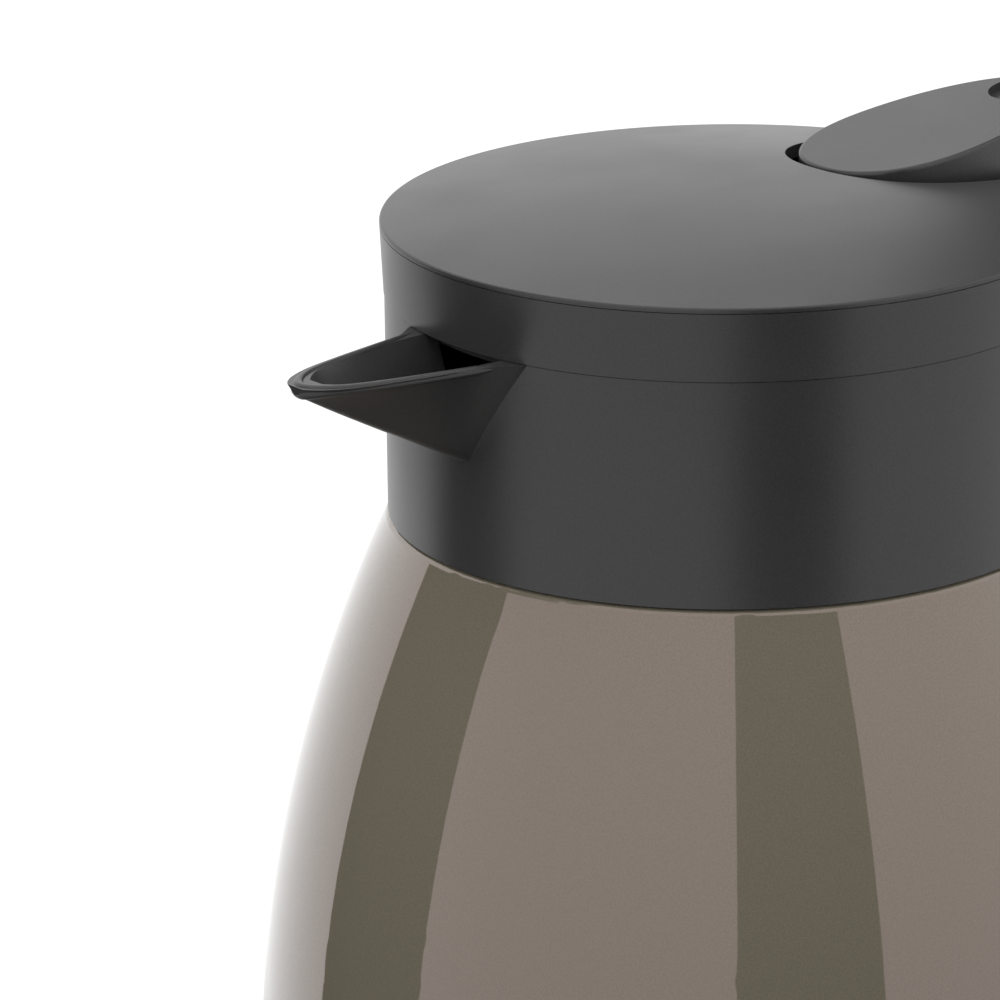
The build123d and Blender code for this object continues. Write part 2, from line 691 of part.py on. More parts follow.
# ---------------------------------------------------------------- valve
def make_valve_stem():
    """Rod that runs from the valve's underside up to the nut above the lid's floor."""
    body = Pos(0, 0, seat_top) * extrude(Circle(stem_radius), nut_foot + nut_height - seat_top)
    return body + Pos(0, 0, seat_top) * extrude(Circle(stem_foot_head), -stopper_floor / 2)


def make_valve_disc():
    """Stiff disc above the washer, with the hub that the stem passes through."""
    hole = stem_radius + weld_gap
    radius = washer_radius - disc_inset
    hub = hole + hub_wall
    return turned(
        (hole, disc_foot), (radius, disc_foot), (radius, disc_top), (hub, disc_top),
        (hub, disc_top + hub_height), (hole, disc_top + hub_height),
    )


def make_valve_washer():
    """Soft washer that lies on the seat."""
    return tube(stem_radius + weld_gap, washer_radius, seat_top, disc_foot)


def make_lift_nut():
    """Nut on the stem's upper end that the lever's fork lifts."""
    body = tube(stem_radius + weld_gap, nut_radius, nut_foot, nut_foot + nut_height)
    rims = [edge for edge in body.edges().filter_by(GeomType.CIRCLE) if edge.radius > nut_radius - tiny]
    return chamfer(rims, nut_chamfer)


def make_spring_seat():
    """Ring under the stem's guide that keeps the O ring in place and carries the spring."""
    return tube(stem_radius + stem_gap, guide_radius, spring_top, guide_foot)


def make_stem_o_ring():
    """O ring in the guide, round the stem."""
    z = guide_foot + o_ring_wire
    return Pos(0, 0, z) * Torus(stem_radius + o_ring_wire + stem_gap / 2, o_ring_wire)


def make_valve_spring():
    """Compression spring between the valve's disc and the spring seat."""
    foot = disc_top + spring_wire
    height = spring_top - spring_wire - foot
    path = Helix(pitch=height / spring_turns, height=height, radius=spring_radius)
    section = Plane(origin=path @ 0, z_dir=path % 0) * Circle(spring_wire)
    return Pos(0, 0, foot) * sweep(section, path)


# ---------------------------------------------------------------- write
def main():
    """Build every piece and write one file for each."""
    handle, inlay = make_handle_pieces()
    pieces = {
        "outer_shell": make_outer_shell(),
        "inner_flask": make_inner_flask(),
        "base_pan": make_base_pan(),
        "vacuum_bead": make_vacuum_bead(),
        "getter": make_getter(),
        "foot_ring": make_foot_ring(),
        "collar": make_collar(),
        "collar_gasket": make_collar_gasket(),
        "handle": handle,
        "handle_inlay": inlay,
        "handle_screws": make_handle_screws(),
        "lid_body": make_lid_body(),
        "lid_cover": make_lid_cover(),
        "lever": make_lever(),
        "lever_fork": make_lever_fork(),
        "lever_pin": make_lever_pin(),
        "stopper": make_stopper(),
        "stopper_screws": make_stopper_screws(),
        "neck_seal": make_neck_seal(),
        "valve_stem": make_valve_stem(),
        "valve_disc": make_valve_disc(),
        "valve_washer": make_valve_washer(),
        "lift_nut": make_lift_nut(),
        "spring_seat": make_spring_seat(),
        "stem_o_ring": make_stem_o_ring(),
        "valve_spring": make_valve_spring(),
    }
    os.makedirs("parts", exist_ok=True)
    for name, piece in pieces.items():
        export_step(piece, f"parts/{name}.step")


main()
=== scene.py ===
"""Looks of a thermal carafe: finishes, moulded details, studio and camera, in metres."""

import logging
import math
from dataclasses import dataclass
from enum import Enum

import bmesh
import bpy
from mathutils import Matrix, Vector


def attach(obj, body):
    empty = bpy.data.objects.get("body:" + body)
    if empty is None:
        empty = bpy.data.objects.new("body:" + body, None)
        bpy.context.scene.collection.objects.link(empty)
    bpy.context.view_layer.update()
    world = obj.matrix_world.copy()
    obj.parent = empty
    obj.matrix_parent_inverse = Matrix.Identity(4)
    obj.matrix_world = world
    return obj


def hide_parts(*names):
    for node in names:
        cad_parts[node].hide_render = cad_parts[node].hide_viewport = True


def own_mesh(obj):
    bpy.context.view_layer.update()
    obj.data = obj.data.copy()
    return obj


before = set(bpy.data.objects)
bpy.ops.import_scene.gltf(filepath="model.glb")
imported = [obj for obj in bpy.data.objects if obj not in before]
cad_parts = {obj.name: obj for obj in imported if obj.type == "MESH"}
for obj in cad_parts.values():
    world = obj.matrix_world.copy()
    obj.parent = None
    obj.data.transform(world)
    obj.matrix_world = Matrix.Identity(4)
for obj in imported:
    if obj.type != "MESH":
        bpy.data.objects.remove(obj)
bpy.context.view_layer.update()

MM = 0.001
Pair = tuple[float, float]
Triple = tuple[float, float, float]
NOISE_BAND: Pair = (0.3, 0.7)  # values between which most of a noise lies
RESIN_INDEX = 1.5  # refractive index of plastic and of the lacquer's body
log = logging.getLogger("carafe")


class Grain(Enum):
    """How the tool marks run on a metal piece."""

    TURNED = "rings round the carafe's axis"
    DRAWN = "fine lines along the piece"
    CAST = "no direction"


class Slot(Enum):
    """Names of the material slots in the part's record."""

    LACQUER = "lacquer"
    BARE_STEEL = "bare_steel"
    SOLDER = "solder"
    GETTER = "getter_alloy"
    FOOT = "soft_grey"
    MOULDED = "dark_plastic"
    GRIP = "soft_black"
    SILICONE = "silicone"
    SCREW = "screw_steel"
    STOPPER = "stopper_plastic"
    SPRING = "spring_steel"


# ---------------------------------------------------------------- shader helpers
class NodeSheet:
    """A node tree, emptied, with short calls to add and link nodes."""

    def __init__(self, tree: bpy.types.NodeTree) -> None:
        """Take over a tree and clear it."""
        self.tree = tree
        self.tree.nodes.clear()

    def add(self, kind: str, **options: object) -> bpy.types.Node:
        """Add a node.

        Args:
            kind: Type of the node.
            options: Attributes of the node, or values of its inputs by name.

        Returns:
            The new node.
        """
        node = self.tree.nodes.new(kind)
        for name, value in options.items():
            if hasattr(node, name):
                setattr(node, name, value)
            else:
                node.inputs[name.replace("_", " ")].default_value = value
        return node

    def join(
        self, source: bpy.types.Node, output: str | int, target: bpy.types.Node, entry: str | int
    ) -> None:
        """Link one node's output to another node's input."""
        self.tree.links.new(source.outputs[output], target.inputs[entry])

    def either(self, path: bpy.types.Node, kinds: tuple[str, ...]) -> bpy.types.NodeSocket:
        """Add a value that is 1 for any of the named kinds of ray.

        Args:
            path: Light Path node of this tree.
            kinds: Outputs of that node.

        Returns:
            The socket that carries the value.
        """
        total = path.outputs[kinds[0]]
        for kind in kinds[1:]:
            larger = self.add("ShaderNodeMath", operation="MAXIMUM")
            self.tree.links.new(total, larger.inputs[0])
            self.join(path, kind, larger, 1)
            total = larger.outputs[0]
        return total


class ShaderSheet(NodeSheet):
    """One material's node tree, with the textures that the finishes use."""

    def __init__(self, name: str) -> None:
        """Start a material with a Principled shader.

        Args:
            name: Name of the material.
        """
        self.material = bpy.data.materials.new(name)
        self.material.use_nodes = True
        super().__init__(self.material.node_tree)
        self.surface = self.add("ShaderNodeBsdfPrincipled")
        output = self.add("ShaderNodeOutputMaterial")
        self.join(self.surface, "BSDF", output, "Surface")
        self.place = self.add("ShaderNodeTexCoord")

    def set(self, **values: object) -> None:
        """Set constant values on the Principled shader's own sockets."""
        for name, value in values.items():
            self.surface.inputs[name.replace("_", " ")].default_value = value

    def noise(
        self, size: float, detail: float = 2.0, stretch: Triple = (1.0, 1.0, 1.0)
    ) -> bpy.types.Node:
        """Add a noise whose features have a real size.

        Args:
            size: Width of a feature in metres.
            detail: Octaves of the noise.
            stretch: How much finer the noise is along each axis.

        Returns:
            The noise node.
        """
        mapping = self.add("ShaderNodeMapping")
        mapping.inputs["Scale"].default_value = tuple(s / size for s in stretch)
        self.join(self.place, "Object", mapping, "Vector")
        noise = self.add("ShaderNodeTexNoise", Scale=1.0, Detail=detail, Roughness=0.5)
        self.join(mapping, "Vector", noise, "Vector")
        return noise

    def shades(
        self, source: bpy.types.Node, colour: Triple, mottle: Pair, band: Pair = NOISE_BAND
    ) -> None:
        """Drive the base colour from a texture.

        Args:
            source: Texture node with a Fac output.
            colour: Middle colour.
            mottle: How dark and how light the colour gets, as shares of it.
            band: Texture values of the darkest and the lightest colour.
        """
        ramp = self.add("ShaderNodeValToRGB")
        for stop, share, position in zip(ramp.color_ramp.elements, mottle, band):
            stop.position = position
            stop.color = (*shaded(colour, share), 1.0)
        self.join(source, 0, ramp, "Fac")
        self.join(ramp, "Color", self.surface, "Base Color")

    def sheen_range(self, source: bpy.types.Node, low: float, high: float) -> None:
        """Drive the roughness from a texture.

        Args:
            source: Texture node with a Fac output.
            low: Smallest roughness.
            high: Largest roughness.
        """
        spread = self.add("ShaderNodeMapRange", clamp=True, To_Min=low, To_Max=high)
        spread.inputs["From Min"].default_value = NOISE_BAND[0]
        spread.inputs["From Max"].default_value = NOISE_BAND[1]
        self.join(source, 0, spread, "Value")
        self.join(spread, "Result", self.surface, "Roughness")

    def relief(self, source: bpy.types.Node, depth: float) -> bpy.types.Node:
        """Raise the surface by a texture.

        Args:
            source: Texture node with a Fac output.
            depth: Height of the relief in metres.

        Returns:
            The bump node.
        """
        bump = self.add("ShaderNodeBump", Distance=depth, Strength=1.0)
        self.join(source, 0, bump, "Height")
        self.join(bump, "Normal", self.surface, "Normal")
        return bump


def shaded(colour: Triple, share: float) -> Triple:
    """A colour made lighter or darker by a share."""
    return tuple(min(1.0, value * share) for value in colour)


# ---------------------------------------------------------------- finishes
@dataclass(frozen=True)
class Lacquer:
    """Glossy taupe lacquer with a fine fleck over primed steel."""

    name: str = "taupe_lacquer"
    slot: Slot = Slot.LACQUER
    colour: Triple = (0.241, 0.215, 0.161)
    fleck: float = 0.22 * MM
    flow: float = 2.4 * MM
    flow_depth: float = 0.0012 * MM
    gloss: float = 0.03
    coat_index: float = 1.6
    base_tint: Triple = (1.0, 0.42, 0.50)
    mottle: Pair = (0.93, 1.07)
    fleck_band: Pair = (0.35, 0.65)

    def make(self) -> bpy.types.Material:
        """Build the material: fleck in the colour, slow flow marks under a clear gloss.

        Returns:
            The new material.
        """
        sheet = ShaderSheet(self.name)
        fleck = sheet.noise(self.fleck, detail=1.0)
        sheet.shades(fleck, self.colour, self.mottle, self.fleck_band)
        sheet.set(Roughness=self.gloss, IOR=RESIN_INDEX, Specular_Tint=(*self.base_tint, 1.0))
        sheet.set(Coat_Weight=1.0, Coat_Roughness=self.gloss, Coat_IOR=self.coat_index)
        flow = sheet.relief(sheet.noise(self.flow, detail=0.0), self.flow_depth)
        sheet.join(flow, "Normal", sheet.surface, "Coat Normal")
        return sheet.material


@dataclass(frozen=True)
class Moulded:
    """Satin moulded plastic with the fine grain of a spark eroded mould."""

    name: str = "charcoal_plastic"
    slot: Slot = Slot.MOULDED
    colour: Triple = (0.047, 0.047, 0.048)
    grain: float = 0.28 * MM
    grain_depth: float = 0.010 * MM
    drift: float = 22.0 * MM
    smooth: float = 0.28
    dull: float = 0.34
    mottle: Pair = (0.86, 1.14)

    def make(self) -> bpy.types.Material:
        """Build the material: grain in the relief, slow drift in the sheen, faint specks.

        Returns:
            The new material.
        """
        sheet = ShaderSheet(self.name)
        grain = sheet.noise(self.grain, detail=2.0)
        sheet.shades(grain, self.colour, self.mottle)
        sheet.sheen_range(sheet.noise(self.drift, detail=3.0), self.smooth, self.dull)
        sheet.set(IOR=RESIN_INDEX)
        sheet.relief(grain, self.grain_depth)
        return sheet.material


@dataclass(frozen=True)
class Soft:
    """Soft rubber or silicone with a dusty, slightly uneven skin."""

    name: str
    slot: Slot
    colour: Triple
    dull: float = 0.62
    glow: float = 0.0
    pore: float = 0.35 * MM
    pore_depth: float = 0.012 * MM
    mottle: Pair = (0.88, 1.10)
    drift: float = 9.0 * MM
    sheen_play: float = 0.06
    scatter: float = 2.0 * MM
    dust: float = 0.08
    dust_spread: float = 0.5

    def make(self) -> bpy.types.Material:
        """Build the material: pores in the relief, mottled colour, light that enters silicone.

        Returns:
            The new material.
        """
        sheet = ShaderSheet(self.name)
        pores = sheet.noise(self.pore, detail=3.0)
        sheet.shades(pores, self.colour, self.mottle)
        low, high = self.dull - self.sheen_play, self.dull + self.sheen_play
        sheet.sheen_range(sheet.noise(self.drift, detail=2.0), low, high)
        sheet.set(Subsurface_Weight=self.glow, Subsurface_Radius=(self.scatter,) * 3)
        sheet.set(Sheen_Weight=self.dust, Sheen_Roughness=self.dust_spread)
        sheet.relief(pores, self.pore_depth)
        return sheet.material


@dataclass(frozen=True)
class Metal:
    """Bare metal with the marks of the tool that finished it."""

    name: str
    slot: Slot
    colour: Triple
    grain: Grain = Grain.TURNED
    smooth: float = 0.22
    dull: float = 0.34
    mark: float = 0.30 * MM
    mark_depth: float = 0.004 * MM
    along: Triple = (1.0, 1.0, 1.0)
    mottle: Pair = (0.86, 1.08)

    def marks(self, sheet: ShaderSheet) -> bpy.types.Node:
        """Add the texture of the tool marks.

        Args:
            sheet: The material's node tree.

        Returns:
            A noise that runs in rings, in lines or with no direction.
        """
        if self.grain is not Grain.TURNED:
            return sheet.noise(self.mark, detail=3.0, stretch=self.along)
        parts = sheet.add("ShaderNodeSeparateXYZ")
        sheet.join(sheet.place, "Object", parts, "Vector")
        flat = sheet.add("ShaderNodeCombineXYZ")
        sheet.join(parts, "X", flat, "X")
        sheet.join(parts, "Y", flat, "Y")
        radius = sheet.add("ShaderNodeVectorMath", operation="LENGTH")
        sheet.join(flat, "Vector", radius, 0)
        rings = sheet.add("ShaderNodeCombineXYZ")
        sheet.join(radius, "Value", rings, "X")
        sheet.join(parts, "Z", rings, "Y")
        scaled = sheet.add("ShaderNodeVectorMath", operation="SCALE", Scale=1.0 / self.mark)
        sheet.join(rings, "Vector", scaled, 0)
        noise = sheet.add("ShaderNodeTexNoise", Scale=1.0, Detail=4.0, Roughness=0.6)
        sheet.join(scaled, "Vector", noise, "Vector")
        return noise

    def make(self) -> bpy.types.Material:
        """Build the material: tool marks in the colour, the sheen and the relief.

        Returns:
            The new material.
        """
        sheet = ShaderSheet(self.name)
        marks = self.marks(sheet)
        sheet.shades(marks, self.colour, self.mottle)
        sheet.sheen_range(marks, self.smooth, self.dull)
        sheet.set(Metallic=1.0)
        sheet.relief(marks, self.mark_depth)
        return sheet.material


Finish = Lacquer | Moulded | Soft | Metal

LACQUER = Lacquer()
MOULDED = Moulded()
GRIP_RUBBER = Soft("grip_rubber", Slot.GRIP, (0.018, 0.018, 0.018), dull=0.70)
FOOT_RUBBER = Soft("foot_rubber", Slot.FOOT, (0.075, 0.075, 0.075), dull=0.75)
SILICONE = Soft("clear_silicone", Slot.SILICONE, (0.62, 0.62, 0.60), dull=0.45, glow=0.35)
STOPPER_PLASTIC = Moulded(
    "stopper_plastic", Slot.STOPPER, (0.10, 0.10, 0.104), smooth=0.40, dull=0.48
)
SPUN_STEEL = Metal("spun_steel", Slot.BARE_STEEL, (0.60, 0.59, 0.57))
SCREW_STEEL = Metal(
    "screw_steel", Slot.SCREW, (0.58, 0.58, 0.59), grain=Grain.DRAWN, along=(0.2, 1.0, 1.0)
)
SPRING_STEEL = Metal(
    "spring_steel", Slot.SPRING, (0.55, 0.55, 0.56), grain=Grain.CAST, smooth=0.2, dull=0.3
)
SEALING_METAL = Metal(
    "sealing_metal", Slot.SOLDER, (0.42, 0.42, 0.43), grain=Grain.CAST, smooth=0.4, dull=0.6
)
GETTER_METAL = Metal(
    "getter_metal", Slot.GETTER, (0.30, 0.30, 0.31), grain=Grain.CAST, smooth=0.6, dull=0.8
)


class FinishBook:
    """Makes each finish's material once and paints pieces with it."""

    def __init__(self) -> None:
        """Start with no materials made."""
        self.made: dict[str, bpy.types.Material] = {}

    def material(self, finish: Finish) -> bpy.types.Material:
        """Make a finish's material the first time that it is asked for.

        Args:
            finish: The finish.

        Returns:
            Its material.
        """
        if finish.name not in self.made:
            self.made[finish.name] = finish.make()
        return self.made[finish.name]

    def paint(self, piece: bpy.types.Object, finish: Finish) -> bpy.types.Object:
        """Give a piece one finish.

        Args:
            piece: CAD node or new piece.
            finish: The finish.

        Returns:
            The same piece.
        """
        if not piece.material_slots:
            piece.data.materials.append(None)
        for place in piece.material_slots:
            place.link = "OBJECT"
            place.material = self.material(finish)
        return piece

    def dress(self, nodes: dict[str, Finish]) -> None:
        """Paint carried over CAD nodes by name.

        Args:
            nodes: Finish of each node.
        """
        for name, finish in nodes.items():
            self.paint(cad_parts[name], finish)
            log.info("%s wears %s", name, finish.name)


# ---------------------------------------------------------------- mesh helpers
def circle(middle: Vector, across: Vector, upright: Vector, facets: int) -> list[Vector]:
    """Points of a circle round a middle, spanned by two of its radii."""
    turns = [2.0 * math.pi * facet / facets for facet in range(facets)]
    return [middle + across * math.cos(turn) + upright * math.sin(turn) for turn in turns]


def swept(name: str, centres: list[Vector], rings: list[list[Vector]]) -> bpy.types.Object:
    """Join rings of points into one smooth closed tube.

    Args:
        name: Name of the piece.
        centres: Middle of each ring, used to close the two ends.
        rings: Points of each ring, in the same order all along.

    Returns:
        The new object, linked to the scene.
    """
    form = bmesh.new()
    rows = [[form.verts.new(point) for point in ring] for ring in rings]
    count = len(rings[0])
    for low, high in zip(rows, rows[1:]):
        for i in range(count):
            j = (i + 1) % count
            form.faces.new((low[i], low[j], high[j], high[i]))
    for row, centre in ((rows[0], centres[0]), (rows[-1], centres[-1])):
        tip = form.verts.new(centre)
        for i in range(count):
            form.faces.new((row[i], row[(i + 1) % count], tip))
    bmesh.ops.recalc_face_normals(form, faces=form.faces)
    mesh = bpy.data.meshes.new(name)
    form.to_mesh(mesh)
    form.free()
    for face in mesh.polygons:
        face.use_smooth = True
    piece = bpy.data.objects.new(name, mesh)
    bpy.context.scene.collection.objects.link(piece)
    return piece


@dataclass(frozen=True)
class Thread:
    """Ridges of a coarse thread with several starts, on a plug or in a neck."""

    name: str
    root: float
    crest: float
    foot: float = 171.4 * MM
    lead: float = 12.0 * MM
    starts: int = 3
    span: float = 168.0
    phase: float = 0.0
    root_half: float = 0.95 * MM
    crest_half: float = 0.35 * MM
    steps: int = 64
    sink: float = 0.25 * MM
    fade_rate: float = 10.0
    end_height: float = 0.04
    end_width: float = 0.3
    rounding: int = 2

    def ridge(self, start: int) -> bpy.types.Object:
        """Sweep one ridge along its helix, fading in and out at its ends.

        Args:
            start: Number of the ridge, from 0.

        Returns:
            The new piece.
        """
        centres, rings = [], []
        inwards = math.copysign(self.sink, self.root - self.crest)
        for step in range(self.steps + 1):
            share = step / self.steps
            angle = math.radians(self.phase + 360.0 * start / self.starts + self.span * share)
            z = self.foot + self.lead * self.span / 360.0 * share
            fade = min(1.0, self.fade_rate * min(share, 1.0 - share))
            fade = self.end_height + (1.0 - self.end_height) * math.sin(fade * math.pi / 2.0)
            width = self.end_width + (1.0 - self.end_width) * fade
            low, high = self.root + inwards, self.root + (self.crest - self.root) * fade
            wide, thin = self.root_half * width, self.crest_half * width
            outline = (
                (low, -wide), (self.root, -wide), (high, -thin),
                (high, thin), (self.root, wide), (low, wide),
            )
            out = Vector((math.cos(angle), math.sin(angle), 0.0))
            rings.append([out * reach + Vector((0.0, 0.0, z + lift)) for reach, lift in outline])
            centres.append(out * low + Vector((0.0, 0.0, z)))
        piece = swept(f"{self.name}_{start + 1}", centres, rings)
        softened = piece.modifiers.new("rounded", "SUBSURF")
        softened.levels = softened.render_levels = self.rounding
        return piece


# ---------------------------------------------------------------- sub-assemblies
@dataclass
class Flask:
    """Double walled steel vessel with its base and foot ring."""

    book: FinishBook
    thread: Thread = Thread("neck_thread", root=34.2 * MM, crest=33.9 * MM, phase=60.0)

    def build(self) -> None:
        """Dress the vessel's nodes and roll the thread into its neck."""
        self.book.dress({
            "outer_shell": LACQUER,
            "inner_flask": SPUN_STEEL,
            "base_pan": SPUN_STEEL,
            "vacuum_bead": SEALING_METAL,
            "getter": GETTER_METAL,
            "foot_ring": FOOT_RUBBER,
            "collar_gasket": SILICONE,
        })
        for start in range(self.thread.starts):
            ridge = self.book.paint(self.thread.ridge(start), SPUN_STEEL)
            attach(ridge, "carafe")
            log.info("%s is in the neck", ridge.name)


@dataclass
class Collar:
    """Moulded collar with its beak, whose rim carries a rounded bead."""

    book: FinishBook
    wall: float = 45.5 * MM
    rim: float = 198.0 * MM
    half_width: float = 9.9 * MM
    taper: float = 5.1 * MM
    fullness: float = 7.0
    side_bead: float = 0.64 * MM
    tip_bead: float = 1.05 * MM
    bead_rise: float = 0.30 * MM
    tip_limit: float = 71.78 * MM
    facets: int = 16
    bead_steps: int = 90
    tip_share: float = 0.42
    wall_fade: float = 0.10
    wall_shrink: float = 0.55
    wall_drop: float = 0.9
    tangent_step: float = 0.002

    def bead_at(self, share: float) -> tuple[Vector, float]:
        """Middle and radius of the bead.

        Args:
            share: Place along the rim, 0 at the beak's tip and -1 or 1 at the collar's wall.

        Returns:
            The bead's middle and its radius there.
        """
        near_tip = max(0.0, 1.0 - abs(share) / self.tip_share)
        near_tip = near_tip * near_tip * (3.0 - 2.0 * near_tip)
        near_wall = max(0.0, (abs(share) - (1.0 - self.wall_fade)) / self.wall_fade)
        size = self.side_bead + (self.tip_bead - self.side_bead) * near_tip
        size *= 1.0 - self.wall_shrink * near_wall
        reach = math.cos(share * math.pi / 2.0)
        fullness = math.sqrt(max(0.0, 1.0 - reach**self.fullness))
        half = (self.half_width - self.taper * reach - size) * fullness
        run = self.tip_limit - self.tip_bead - self.wall
        top = self.rim + self.bead_rise * (1.0 - self.wall_drop * near_wall)
        return Vector((-self.wall - run * reach, math.copysign(half, share), top - size)), size

    def lip_bead(self) -> bpy.types.Object:
        """Sweep the rounded bead round the beak's rim, thicker at the tip and sunk at the wall.

        Returns:
            The new piece.
        """
        middles, rings = [], []
        for step in range(-self.bead_steps, self.bead_steps + 1):
            share = step / self.bead_steps
            middle, size = self.bead_at(share)
            after = self.bead_at(share + self.tangent_step)[0]
            ahead = after - self.bead_at(share - self.tangent_step)[0]
            across = Vector((ahead.y, -ahead.x, 0.0)).normalized() * size
            middles.append(middle)
            rings.append(circle(middle, across, Vector((0.0, 0.0, size)), self.facets))
        return swept("lip_bead", middles, rings)

    def build(self) -> None:
        """Dress the collar and the handle, and lay the bead on the beak's rim."""
        self.book.dress({
            "collar": MOULDED,
            "handle": MOULDED,
            "handle_inlay": GRIP_RUBBER,
            "handle_screws": SCREW_STEEL,
        })
        bead = self.book.paint(self.lip_bead(), MOULDED)
        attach(bead, "carafe")
        log.info("%s is on the beak", bead.name)


@dataclass
class Lid:
    """Screw lid with its lever, stopper and valve."""

    book: FinishBook
    thread: Thread = Thread("stopper_thread", root=33.0 * MM, crest=34.0 * MM)
    spring_foot: float = 166.4 * MM
    spring_top: float = 192.4 * MM
    spring_radius: float = 6.2 * MM
    spring_wire: float = 0.5 * MM
    spring_turns: float = 8.0
    spring_kept: float = 0.852
    spring_steps: int = 320
    spring_facets: int = 10
    closed_pitch: float = 2.05

    def spring(self) -> bpy.types.Object:
        """Wind the valve's spring with its end turns closed.

        Returns:
            The new piece.
        """
        middles, rings = [], []
        low, high = self.spring_foot + self.spring_wire, self.spring_top - self.spring_wire
        closed = 1.0 / self.spring_turns
        pitch = self.closed_pitch * self.spring_wire
        for step in range(self.spring_steps + 1):
            share = step / self.spring_steps
            angle = 2.0 * math.pi * self.spring_turns * share
            inner = min(max((share - closed) / (1.0 - 2.0 * closed), 0.0), 1.0)
            ends = (min(share, closed) + max(share - 1.0 + closed, 0.0)) / closed
            z = low + pitch * ends + (high - low - 2.0 * pitch) * inner
            out = Vector((math.cos(angle), math.sin(angle), 0.0))
            middles.append(out * self.spring_radius + Vector((0.0, 0.0, z)))
            upright = Vector((0.0, 0.0, self.spring_wire))
            wire = circle(middles[-1], out * self.spring_wire, upright, self.spring_facets)
            rings.append(wire)
        return swept("valve_spring_wire", middles, rings)

    def build(self) -> None:
        """Dress the lid's nodes, put the thread on the stopper and wind the spring."""
        self.book.dress({
            "lid_body": MOULDED,
            "lid_cover": MOULDED,
            "lever": MOULDED,
            "lever_fork": STOPPER_PLASTIC,
            "lever_pin": SCREW_STEEL,
            "stopper": STOPPER_PLASTIC,
            "stopper_screws": SCREW_STEEL,
            "neck_seal": SILICONE,
            "valve_stem": STOPPER_PLASTIC,
            "valve_disc": STOPPER_PLASTIC,
            "valve_washer": SILICONE,
            "lift_nut": STOPPER_PLASTIC,
            "spring_seat": STOPPER_PLASTIC,
            "stem_o_ring": SILICONE,
        })
        coil = self.book.paint(self.spring(), SPRING_STEEL)
        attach(coil, "lid")
        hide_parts("valve_spring")
        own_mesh(coil)
        log.info("%s stands for the valve's spring", coil.name)
        for start in range(self.thread.starts):
            ridge = self.book.paint(self.thread.ridge(start), STOPPER_PLASTIC)
            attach(ridge, "lid")
            log.info("%s is on the stopper", ridge.name)


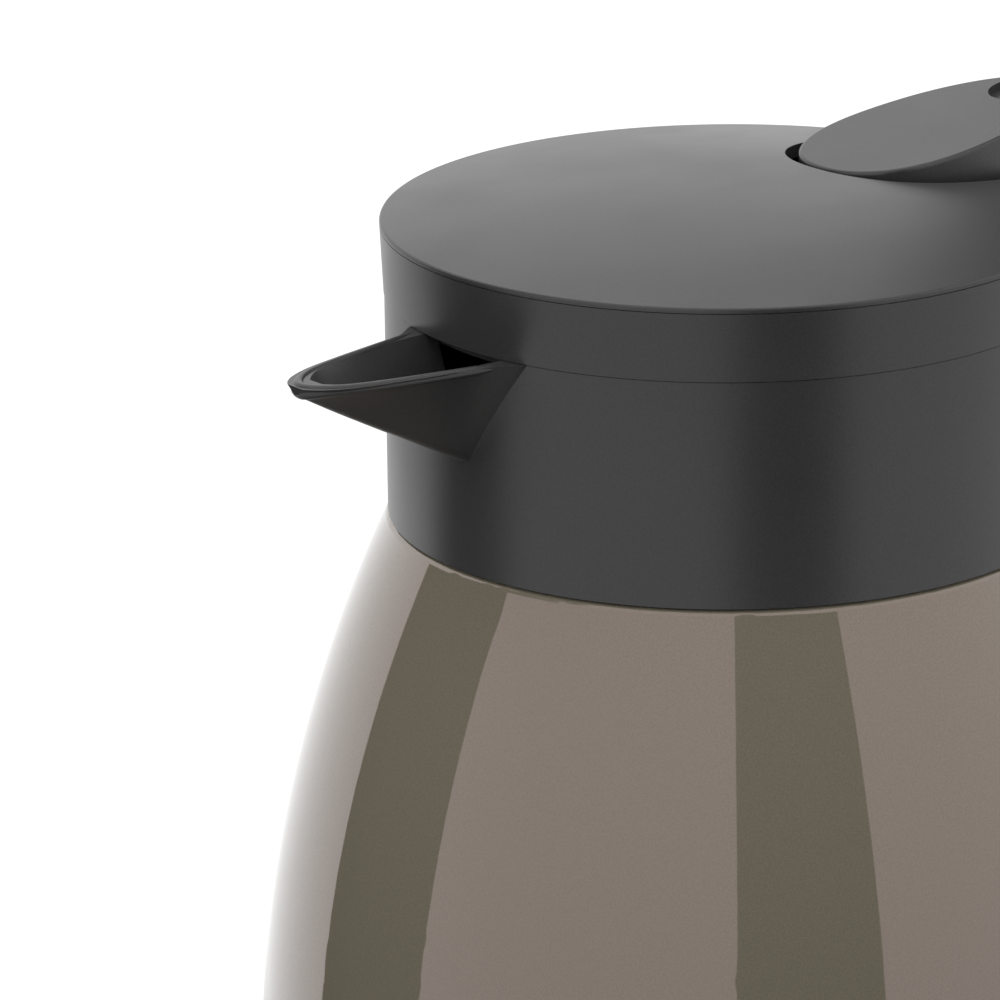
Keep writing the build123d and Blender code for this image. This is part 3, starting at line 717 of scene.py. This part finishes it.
# ---------------------------------------------------------------- studio
@dataclass
class Studio:
    """Pale floor, white surroundings, a broad light above and dark cards for the gloss."""

    floor_half: float = 12.0
    floor_light: float = 0.72
    floor_colour: Triple = (0.38, 0.38, 0.38)
    floor_bounce: float = 0.06
    # painted shadow in the floor's reflections and bounce light: its level next to the carafe and
    # the distances over which it fades
    painted_shadow_level: float = 0.25
    painted_shadow_reach: Pair = (0.10, 0.30)
    world_light: float = 0.86
    sun_strength: float = 0.7
    sun_spread: float = 80.0
    sun_height: float = 64.0
    sun_side: float = 75.0
    card_reach: float = 0.40
    card_height: float = 0.9
    card_tone: Triple = (0.0, 0.0, 0.0)
    cards: tuple[Pair, ...] = ((119.3, 154.3), (-128.7, -95.3), (10.0, 40.0))

    def plane(self, name: str, corners: list[Triple]) -> bpy.types.Object:
        """Make a flat stage piece.

        Args:
            name: Name of the piece.
            corners: Its corners in order.

        Returns:
            The new object, linked to the scene.
        """
        mesh = bpy.data.meshes.new(name)
        mesh.from_pydata(corners, [], [tuple(range(len(corners)))])
        piece = bpy.data.objects.new(name, mesh)
        bpy.context.scene.collection.objects.link(piece)
        return piece

    def floor(self) -> None:
        """Lay the pale floor, which stays white away from the carafe's shadow; in reflections and
        bounce light it carries a painted shadow that darkens it towards the carafe.
        """
        half = self.floor_half
        corners = [(-half, -half, 0), (half, -half, 0), (half, half, 0), (-half, half, 0)]
        floor = self.plane("studio_floor", corners)
        material = bpy.data.materials.new("floor_paper")
        material.use_nodes = True
        sheet = NodeSheet(material.node_tree)
        paper = sheet.add("ShaderNodeBsdfDiffuse", Color=(*self.floor_colour, 1.0))
        glow = sheet.add("ShaderNodeEmission", Strength=self.floor_light)
        seen = sheet.add("ShaderNodeAddShader")
        sheet.join(paper, 0, seen, 0)
        sheet.join(glow, 0, seen, 1)
        path = sheet.add("ShaderNodeLightPath")
        mirrored = sheet.add("ShaderNodeMapRange", To_Min=self.floor_bounce, To_Max=1.0)
        kinds = ("Is Glossy Ray", "Is Transmission Ray")
        sheet.tree.links.new(sheet.either(path, kinds), mirrored.inputs["Value"])
        # painted shadow: the floor's reflections and bounce light get darker towards the carafe's
        # axis, set by distance alone and cast by no lamp
        place = sheet.add("ShaderNodeNewGeometry")
        distance = sheet.add("ShaderNodeVectorMath", operation="LENGTH")
        sheet.join(place, "Position", distance, 0)
        painted_shadow = sheet.add("ShaderNodeMapRange", To_Min=self.painted_shadow_level, To_Max=1.0)
        painted_shadow.inputs["From Min"].default_value = self.painted_shadow_reach[0]
        painted_shadow.inputs["From Max"].default_value = self.painted_shadow_reach[1]
        sheet.join(distance, "Value", painted_shadow, "Value")
        strength = sheet.add("ShaderNodeMath", operation="MULTIPLY")
        sheet.join(mirrored, "Result", strength, 0)
        sheet.join(painted_shadow, "Result", strength, 1)
        white = sheet.add("ShaderNodeEmission")
        sheet.join(strength, 0, white, "Strength")
        choice = sheet.add("ShaderNodeMixShader")
        sheet.join(path, "Is Camera Ray", choice, 0)
        sheet.join(white, 0, choice, 1)
        sheet.join(seen, 0, choice, 2)
        sheet.join(choice, 0, sheet.add("ShaderNodeOutputMaterial"), "Surface")
        floor.data.materials.append(material)

    def world(self) -> None:
        """Surround the carafe with even light that shows as white."""
        world = bpy.data.worlds.new("studio_world")
        world.use_nodes = True
        sheet = NodeSheet(world.node_tree)
        background = sheet.add("ShaderNodeBackground", Color=(1.0, 1.0, 1.0, 1.0))
        strength = sheet.add("ShaderNodeMapRange", To_Min=self.world_light, To_Max=1.0)
        path = sheet.add("ShaderNodeLightPath")
        kinds = ("Is Camera Ray", "Is Glossy Ray", "Is Transmission Ray")
        sheet.tree.links.new(sheet.either(path, kinds), strength.inputs["Value"])
        sheet.join(strength, "Result", background, "Strength")
        sheet.join(background, 0, sheet.add("ShaderNodeOutputWorld"), "Surface")
        bpy.context.scene.world = world

    def dark_cards(self) -> None:
        """Stand the dark cards, which only glossy surfaces show."""
        material = bpy.data.materials.new("card_black")
        material.use_nodes = True
        shader = material.node_tree.nodes["Principled BSDF"]
        shader.inputs["Base Color"].default_value = (*self.card_tone, 1.0)
        shader.inputs["Specular IOR Level"].default_value = 0.0
        shader.inputs["Roughness"].default_value = 1.0
        for number, edges in enumerate(self.cards):
            angles = [math.radians(edge) for edge in edges]
            feet = [(self.card_reach * math.cos(a), self.card_reach * math.sin(a)) for a in angles]
            tops = [(x, y, self.card_height) for x, y in reversed(feet)]
            card = self.plane(f"dark_card_{number}", [(x, y, 0.0) for x, y in feet] + tops)
            card.data.materials.append(material)
            card.visible_camera = False
            card.visible_diffuse = False
            card.visible_shadow = False
            card.visible_transmission = False

    def sun(self) -> None:
        """Hang the broad soft light high behind the carafe."""
        light = bpy.data.lights.new("soft_overhead", "SUN")
        light.energy = self.sun_strength
        light.angle = math.radians(self.sun_spread)
        lamp = bpy.data.objects.new("soft_overhead", light)
        lamp.visible_glossy = False
        bpy.context.scene.collection.objects.link(lamp)
        height, side = math.radians(self.sun_height), math.radians(self.sun_side)
        flat = math.cos(height)
        towards = Vector((flat * math.cos(side), flat * math.sin(side), math.sin(height)))
        lamp.rotation_mode = "QUATERNION"
        lamp.rotation_quaternion = towards.to_track_quat("Z", "Y")

    def build(self) -> None:
        """Set up the floor, the surroundings, the cards and the light."""
        self.floor()
        self.world()
        self.dark_cards()
        self.sun()
        bpy.context.scene.view_settings.view_transform = "Standard"


@dataclass
class Camera:
    """Long lens camera that looks down a little from the spout's side."""

    target: Triple = (-0.0239, 0.0190, 0.1684)
    azimuth: float = -38.5
    elevation: float = 17.745
    distance: float = 0.920
    roll: float = -0.739
    lens: float = 248.1
    sensor: float = 36.0
    near: float = 0.05
    far: float = 60.0

    def build(self) -> None:
        """Place the camera and make it the scene's own."""
        a, e = math.radians(self.azimuth), math.radians(self.elevation)
        back = Vector((math.sin(a) * math.cos(e), -math.cos(a) * math.cos(e), math.sin(e)))
        data = bpy.data.cameras.new("camera")
        data.lens = self.lens
        data.sensor_width = self.sensor
        data.clip_start = self.near
        data.clip_end = self.far
        camera = bpy.data.objects.new("camera", data)
        bpy.context.scene.collection.objects.link(camera)
        turn = (-back).to_track_quat("-Z", "Y").to_matrix().to_4x4()
        roll = Matrix.Rotation(math.radians(self.roll), 4, "Z")
        stand = Matrix.Translation(Vector(self.target) + back * self.distance)
        camera.matrix_world = stand @ turn @ roll
        bpy.context.scene.camera = camera


def main() -> None:
    """Build the camera, the studio and each sub-assembly, and report the pieces."""
    logging.basicConfig(level=logging.INFO, format="%(name)s: %(message)s")
    Camera().build()
    Studio().build()
    book = FinishBook()
    for assembly in (Flask(book), Collar(book), Lid(book)):
        assembly.build()
        log.info("%s is dressed", type(assembly).__name__)


if __name__ == "__main__":
    main()
